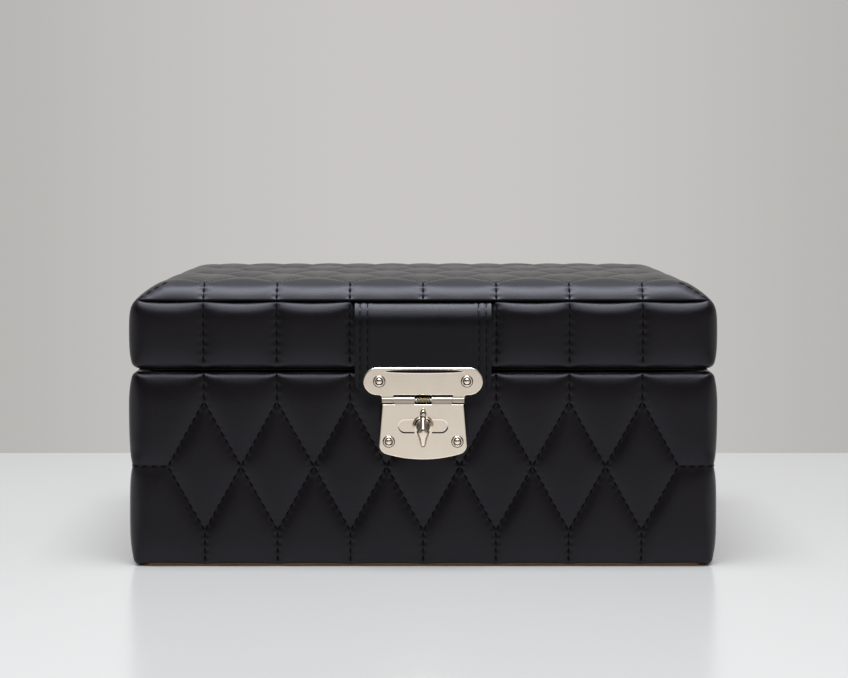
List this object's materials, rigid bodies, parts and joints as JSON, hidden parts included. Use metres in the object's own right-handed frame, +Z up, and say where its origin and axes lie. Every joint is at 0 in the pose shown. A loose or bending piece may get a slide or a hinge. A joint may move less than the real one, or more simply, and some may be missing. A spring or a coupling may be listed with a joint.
{
  "type": "jewellery case",
  "caption": "Quilted leather jewellery case: hinged padded lid, turn lock on a leather flap, suede-lined compartments with ring rolls, and a mirror inside the lid.",
  "frame": {"origin": "centre of the suede underside, on the surface that the case stands on", "axes": "+Z up, the lock faces -Y, the lid's hinges are on the +Y side, +X to the right seen from the front"},
  "size_m": [0.26, 0.2073, 0.1295],
  "materials": {
    "suede_underlay": "napped suede",
    "carcass_board": "plain fibreboard",
    "quilted_leather": "smooth semi-gloss",
    "flap_leather": "smooth semi-gloss",
    "suede_lining": "napped suede over board",
    "suede_pad": "napped suede over foam",
    "pale_gold": "polished pale gold plate",
    "spring_brass": "drawn wire",
    "steel": "plated",
    "mirror_glass": "silvered glass"
  },
  "bodies": {
    "base": {"underlay": "suede_underlay", "base_board": "carcass_board", "base_front_wall": "carcass_board", "base_back_wall": "carcass_board", "base_left_wall": "carcass_board", "base_right_wall": "carcass_board", "base_cover": "quilted_leather", "floor_lining": "suede_lining", "front_lining": "suede_lining", "back_lining": "suede_lining", "left_lining": "suede_lining", "right_lining": "suede_lining", "long_divider": "suede_lining", "ring_divider": "suede_lining", "front_divider_left": "suede_lining", "front_divider_right": "suede_lining", "ring_bed": "suede_pad", "ring_roll_1": "suede_pad", "ring_roll_2": "suede_pad", "ring_roll_3": "suede_pad", "keeper_plate": "pale_gold", "keeper_screws": "steel", "hinge_leaf_lower_left": "pale_gold", "hinge_leaf_lower_right": "pale_gold", "hinge_pin_left": "steel", "hinge_pin_right": "steel", "hinge_screws_lower": "steel"},
    "lid": {"lid_board": "carcass_board", "lid_front_wall": "carcass_board", "lid_back_wall": "carcass_board", "lid_left_wall": "carcass_board", "lid_right_wall": "carcass_board", "lid_band": "quilted_leather", "lid_top_pad": "quilted_leather", "lid_front_lining": "suede_lining", "lid_back_lining": "suede_lining", "lid_left_lining": "suede_lining", "lid_right_lining": "suede_lining", "mirror_frame": "suede_lining", "mirror": "mirror_glass", "flap_face": "flap_leather", "flap_backing": "flap_leather", "hinge_leaf_upper_left": "pale_gold", "hinge_leaf_upper_right": "pale_gold", "hinge_screws_upper": "steel", "latch_plate": "pale_gold", "latch_rivets": "pale_gold", "hasp_pin": "steel", "hasp_spring": "spring_brass"},
    "hasp": {"hasp_plate": "pale_gold", "hasp_back_plate": "pale_gold", "hasp_rivets": "pale_gold", "knob_boss": "pale_gold"},
    "turn_knob": {"turn_knob": "pale_gold", "knob_spindle": "pale_gold", "knob_washer": "pale_gold"}
  },
  "joints": [
    {"name": "lid_hinge", "type": "hinge", "parent": "base", "child": "lid", "pos_m": [0, 0.0977, 0.0875], "axis": [-1, 0, 0], "range_deg": [0, 100]},
    {"name": "hasp_hinge", "type": "hinge", "parent": "lid", "child": "hasp", "pos_m": [0, -0.0976, 0.0752], "axis": [-1, 0, 0], "range_deg": [0, 90], "stiffness_Nm_per_rad": 0.004},
    {"name": "knob_turn", "type": "hinge", "parent": "hasp", "child": "turn_knob", "pos_m": [0, -0.0999, 0.0637], "axis": [0, 1, 0], "range_deg": [0, 90]}
  ]
}
